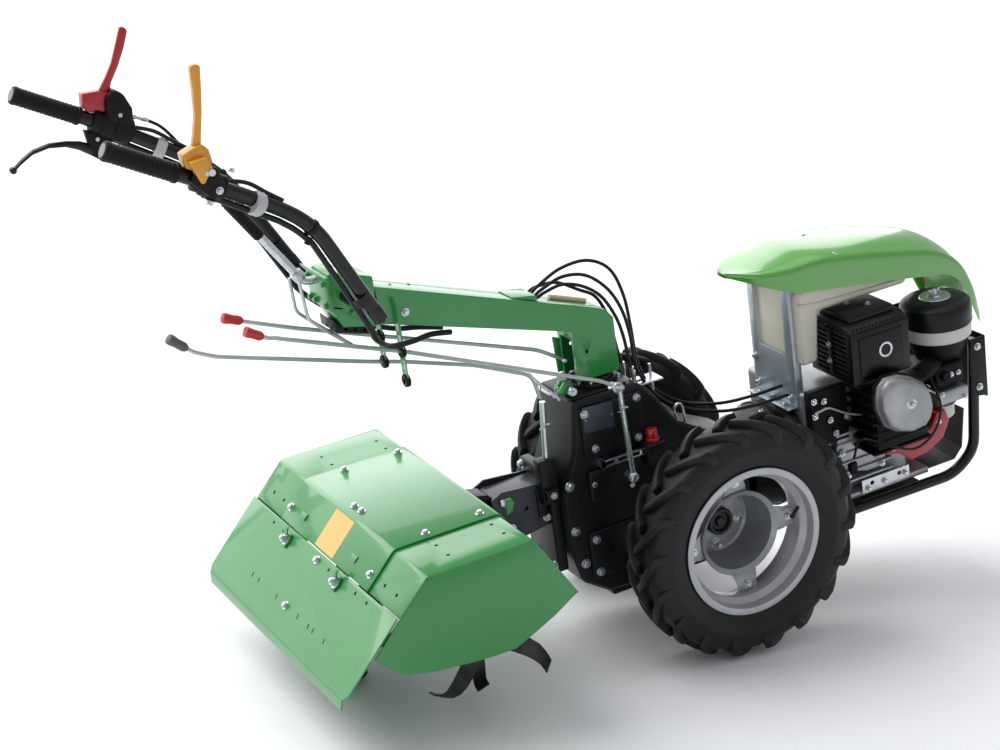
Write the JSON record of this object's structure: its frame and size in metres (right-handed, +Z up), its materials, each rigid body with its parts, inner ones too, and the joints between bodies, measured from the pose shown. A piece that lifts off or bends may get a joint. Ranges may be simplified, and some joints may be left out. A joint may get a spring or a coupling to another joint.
{
  "type": "walking tractor",
  "caption": "Two-wheeled walking tractor with a green rear tiller, grey-rimmed lug tyres, engine under a green hood, tube bumper and swivelling handlebars.",
  "frame": {"origin": "on the floor, at the centre of the whole machine's footprint box", "axes": "+X forward, towards the engine and bumper; +Y to the operator's left; +Z up"},
  "size_m": [2.1518, 0.754, 1.3893],
  "materials": {
    "rubber_tyre": "moulded tread",
    "rim_grey": "light grey enamel",
    "gearbox_black": "black paint over cast aluminium",
    "black": "satin black enamel",
    "cast_black": "black paint",
    "silver": "bright zinc",
    "alloy": "as cast",
    "red": "gloss",
    "green": "gloss enamel",
    "hood_green": "gloss enamel",
    "galvanised": "bright zinc",
    "tank": "translucent cream",
    "plastic_black": "satin",
    "grip": "moulded grip",
    "yellow": "gloss",
    "tine": "worn black paint",
    "cable": "black sheath",
    "shield": "dark painted heat shield",
    "charcoal": "dark grey enamel"
  },
  "bodies": {
    "chassis": {"gearbox": "gearbox_black", "bell_housing": "gearbox_black", "swivel_turret": "green", "filler_cap": "red", "side_selector": "silver", "rear_selector": "silver", "swivel_lock": "green", "engine_block": "alloy", "cylinder_head": "alloy", "valve_cover": "alloy", "muffler": "shield", "fan_shroud": "red", "air_cleaner": "plastic_black", "carburettor": "plastic_black", "fuel_tank": "tank", "engine_base": "alloy", "hood": "hood_green", "hood_bracket": "galvanised", "front_bumper": "black", "bumper_bracket": "black", "belly_tray": "charcoal", "tiller_cover": "green", "right_extension": "green", "left_extension": "green", "tiller_gear_case": "cast_black", "coupling_tube": "charcoal", "depth_skid": "green", "clutch_cable": "cable", "throttle_cable": "cable", "stop_wire": "cable", "brake_cable": "cable"},
    "right_wheel": {"right_tyre": "rubber_tyre", "right_rim": "rim_grey", "right_wheel_disc": "rim_grey"},
    "left_wheel": {"left_tyre": "rubber_tyre", "left_rim": "rim_grey", "left_wheel_disc": "rim_grey"},
    "rotor": {"right_rotor": "tine", "left_rotor": "tine"},
    "flap": {"rear_flap": "green"},
    "column": {"column": "green", "column_head": "green", "reverse_rod": "silver", "speed_rod": "silver", "implement_rod": "silver", "wire_hook": "silver", "height_lever": "silver"},
    "handlebar": {"handlebar": "black", "right_grip": "grip", "left_grip": "grip", "throttle_base": "yellow", "throttle_lever": "yellow", "stop_base": "red", "stop_lever": "red", "clutch_lever": "black", "right_loom": "cable", "left_loom": "cable"}
  },
  "joints": [
    {"name": "right_wheel_spin", "type": "hinge", "parent": "chassis", "child": "right_wheel", "pos_m": [0.3203, -0.266, 0.27], "axis": [0, 1, 0], "continuous": true},
    {"name": "left_wheel_spin", "type": "hinge", "parent": "chassis", "child": "left_wheel", "pos_m": [0.3203, 0.266, 0.27], "axis": [0, 1, 0], "continuous": true},
    {"name": "rotor_spin", "type": "hinge", "parent": "chassis", "child": "rotor", "pos_m": [-0.33518, 0, 0.19074], "axis": [0, 1, 0], "continuous": true},
    {"name": "flap_hinge", "type": "hinge", "parent": "chassis", "child": "flap", "pos_m": [-0.55082, 0, 0.294], "axis": [0, 1, 0], "range_deg": [0, 75]},
    {"name": "handlebar_swivel", "type": "hinge", "parent": "chassis", "child": "column", "pos_m": [0.09164, 0, 0.59578], "axis": [-0.1478, 0, 0.989], "range_deg": [-20, 20], "deforming": ["clutch_cable", "throttle_cable", "stop_wire", "brake_cable"]},
    {"name": "handlebar_tilt", "type": "hinge", "parent": "column", "child": "handlebar", "pos_m": [-0.50218, 0, 0.85485], "axis": [0, 1, 0], "range_deg": [-10, 15], "deforming": ["right_loom", "left_loom"]}
  ]
}
